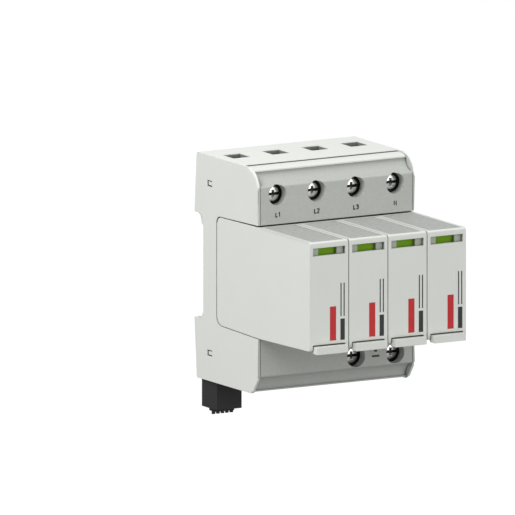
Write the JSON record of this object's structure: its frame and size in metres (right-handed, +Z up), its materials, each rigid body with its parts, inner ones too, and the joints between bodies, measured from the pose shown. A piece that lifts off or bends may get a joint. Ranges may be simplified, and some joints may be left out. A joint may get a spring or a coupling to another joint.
{
  "type": "din rail surge arrester",
  "caption": "Pluggable surge arrester on a C-shaped rail base, with plug-in modules, green status flags, cage terminals and a plug for remote signalling.",
  "frame": {"origin": "centre of the flat face that seats on the rail", "axes": "+X to the right of someone who faces the device, +Y into the wall, +Z up"},
  "size_m": [0.0712, 0.0932, 0.1036],
  "materials": {
    "housing_plastic": "light grey, fine matt",
    "cover_plastic": "grey, stippled",
    "module_plastic": "light grey, fine matt",
    "window_plastic": "grey",
    "latch_plastic": "dark grey",
    "flag_plastic": "green",
    "plug_plastic": "black",
    "zinc_steel": "bright zinc",
    "spring_steel": "drawn wire",
    "contact_copper": "tinned copper",
    "varistor_coating": "dipped epoxy, blue",
    "tube_ceramic": "glazed ceramic",
    "board_laminate": "green laminate"
  },
  "bodies": {
    "base": {"base_housing": "housing_plastic", "rear_cover": "housing_plastic", "upper_terminal_cover": "cover_plastic", "lower_terminal_cover": "cover_plastic", "line_1_contact": "contact_copper", "line_2_contact": "contact_copper", "line_3_contact": "contact_copper", "neutral_busbar": "contact_copper", "earth_busbar": "contact_copper", "signal_header": "plug_plastic", "signal_board": "board_laminate", "signal_switch": "plug_plastic", "left_latch_spring": "spring_steel", "right_latch_spring": "spring_steel"},
    "line_1_screw": {"line_1_screw": "zinc_steel"},
    "line_1_cage": {"line_1_cage": "zinc_steel"},
    "line_2_screw": {"line_2_screw": "zinc_steel"},
    "line_2_cage": {"line_2_cage": "zinc_steel"},
    "line_3_screw": {"line_3_screw": "zinc_steel"},
    "line_3_cage": {"line_3_cage": "zinc_steel"},
    "neutral_screw": {"neutral_screw": "zinc_steel"},
    "neutral_cage": {"neutral_cage": "zinc_steel"},
    "earth_1_screw": {"earth_1_screw": "zinc_steel"},
    "earth_1_cage": {"earth_1_cage": "zinc_steel"},
    "earth_2_screw": {"earth_2_screw": "zinc_steel"},
    "earth_2_cage": {"earth_2_cage": "zinc_steel"},
    "left_latch": {"left_rail_latch": "latch_plastic"},
    "right_latch": {"right_rail_latch": "latch_plastic"},
    "signal_plug": {"signal_plug": "plug_plastic"},
    "signal_slider": {"signal_slider": "latch_plastic"},
    "module_1": {"module_1_case": "module_plastic", "module_1_base": "module_plastic", "module_1_window_insert": "window_plastic", "module_1_upper_blade": "contact_copper", "module_1_lower_blade": "contact_copper", "module_1_varistor": "varistor_coating"},
    "module_1_flag": {"module_1_status_flag": "flag_plastic"},
    "module_2": {"module_2_case": "module_plastic", "module_2_base": "module_plastic", "module_2_window_insert": "window_plastic", "module_2_upper_blade": "contact_copper", "module_2_lower_blade": "contact_copper", "module_2_varistor": "varistor_coating"},
    "module_2_flag": {"module_2_status_flag": "flag_plastic"},
    "module_3": {"module_3_case": "module_plastic", "module_3_base": "module_plastic", "module_3_window_insert": "window_plastic", "module_3_upper_blade": "contact_copper", "module_3_lower_blade": "contact_copper", "module_3_varistor": "varistor_coating"},
    "module_3_flag": {"module_3_status_flag": "flag_plastic"},
    "module_4": {"module_4_case": "module_plastic", "module_4_base": "module_plastic", "module_4_window_insert": "window_plastic", "module_4_upper_blade": "contact_copper", "module_4_lower_blade": "contact_copper", "module_4_spark_gap": "tube_ceramic"},
    "module_4_flag": {"module_4_status_flag": "flag_plastic"}
  },
  "joints": [
    {"name": "line_1_screw_turn", "type": "hinge", "parent": "base", "child": "line_1_screw", "pos_m": [-0.0267, -0.0365, 0.0342], "axis": [0, 1, 0], "range_deg": [0, 2880]},
    {"name": "line_1_cage_lift", "type": "slide", "parent": "base", "child": "line_1_cage", "axis": [0, -1, 0], "range_m": [0, 0.0064]},
    {"name": "line_2_screw_turn", "type": "hinge", "parent": "base", "child": "line_2_screw", "pos_m": [-0.0089, -0.0365, 0.0342], "axis": [0, 1, 0], "range_deg": [0, 2880]},
    {"name": "line_2_cage_lift", "type": "slide", "parent": "base", "child": "line_2_cage", "axis": [0, -1, 0], "range_m": [0, 0.0064]},
    {"name": "line_3_screw_turn", "type": "hinge", "parent": "base", "child": "line_3_screw", "pos_m": [0.0089, -0.0365, 0.0342], "axis": [0, 1, 0], "range_deg": [0, 2880]},
    {"name": "line_3_cage_lift", "type": "slide", "parent": "base", "child": "line_3_cage", "axis": [0, -1, 0], "range_m": [0, 0.0064]},
    {"name": "neutral_screw_turn", "type": "hinge", "parent": "base", "child": "neutral_screw", "pos_m": [0.0267, -0.0365, 0.0342], "axis": [0, 1, 0], "range_deg": [0, 2880]},
    {"name": "neutral_cage_lift", "type": "slide", "parent": "base", "child": "neutral_cage", "axis": [0, -1, 0], "range_m": [0, 0.0064]},
    {"name": "earth_1_screw_turn", "type": "hinge", "parent": "base", "child": "earth_1_screw", "pos_m": [0.0089, -0.0365, -0.0335], "axis": [0, 1, 0], "range_deg": [0, 2880]},
    {"name": "earth_1_cage_lift", "type": "slide", "parent": "base", "child": "earth_1_cage", "axis": [0, -1, 0], "range_m": [0, 0.0064]},
    {"name": "earth_2_screw_turn", "type": "hinge", "parent": "base", "child": "earth_2_screw", "pos_m": [0.0267, -0.0365, -0.0335], "axis": [0, 1, 0], "range_deg": [0, 2880]},
    {"name": "earth_2_cage_lift", "type": "slide", "parent": "base", "child": "earth_2_cage", "axis": [0, -1, 0], "range_m": [0, 0.0064]},
    {"name": "left_latch_slide", "type": "slide", "parent": "base", "child": "left_latch", "axis": [0, 0, -1], "range_m": [0, 0.0035], "stiffness_N_per_m": 800, "springref_m": -0.004, "deforming": ["left_latch_spring"]},
    {"name": "right_latch_slide", "type": "slide", "parent": "base", "child": "right_latch", "axis": [0, 0, -1], "range_m": [0, 0.0035], "stiffness_N_per_m": 800, "springref_m": -0.004, "deforming": ["right_latch_spring"]},
    {"name": "signal_plug_pull", "type": "slide", "parent": "base", "child": "signal_plug", "axis": [0, 0, -1], "range_m": [0, 0.015]},
    {"name": "signal_slider_push", "type": "slide", "parent": "base", "child": "signal_slider", "axis": [-1, 0, 0], "range_m": [0, 0.0022]},
    {"name": "module_1_pull", "type": "slide", "parent": "base", "child": "module_1", "axis": [0, -1, 0], "range_m": [0, 0.045]},
    {"name": "module_1_flag_drop", "type": "slide", "parent": "module_1", "child": "module_1_flag", "axis": [0, 0, -1], "range_m": [0, 0.0044]},
    {"name": "module_2_pull", "type": "slide", "parent": "base", "child": "module_2", "axis": [0, -1, 0], "range_m": [0, 0.045]},
    {"name": "module_2_flag_drop", "type": "slide", "parent": "module_2", "child": "module_2_flag", "axis": [0, 0, -1], "range_m": [0, 0.0044]},
    {"name": "module_3_pull", "type": "slide", "parent": "base", "child": "module_3", "axis": [0, -1, 0], "range_m": [0, 0.045]},
    {"name": "module_3_flag_drop", "type": "slide", "parent": "module_3", "child": "module_3_flag", "axis": [0, 0, -1], "range_m": [0, 0.0044]},
    {"name": "module_4_pull", "type": "slide", "parent": "base", "child": "module_4", "axis": [0, -1, 0], "range_m": [0, 0.045]},
    {"name": "module_4_flag_drop", "type": "slide", "parent": "module_4", "child": "module_4_flag", "axis": [0, 0, -1], "range_m": [0, 0.0044]}
  ],
  "couplings": [
    {"joint": "line_1_screw_turn", "follows": "line_1_cage_lift", "rad_per_m": 7853.9},
    {"joint": "line_2_screw_turn", "follows": "line_2_cage_lift", "rad_per_m": 7853.9},
    {"joint": "line_3_screw_turn", "follows": "line_3_cage_lift", "rad_per_m": 7853.9},
    {"joint": "neutral_screw_turn", "follows": "neutral_cage_lift", "rad_per_m": 7853.9},
    {"joint": "earth_1_screw_turn", "follows": "earth_1_cage_lift", "rad_per_m": 7853.9},
    {"joint": "earth_2_screw_turn", "follows": "earth_2_cage_lift", "rad_per_m": 7853.9}
  ]
}
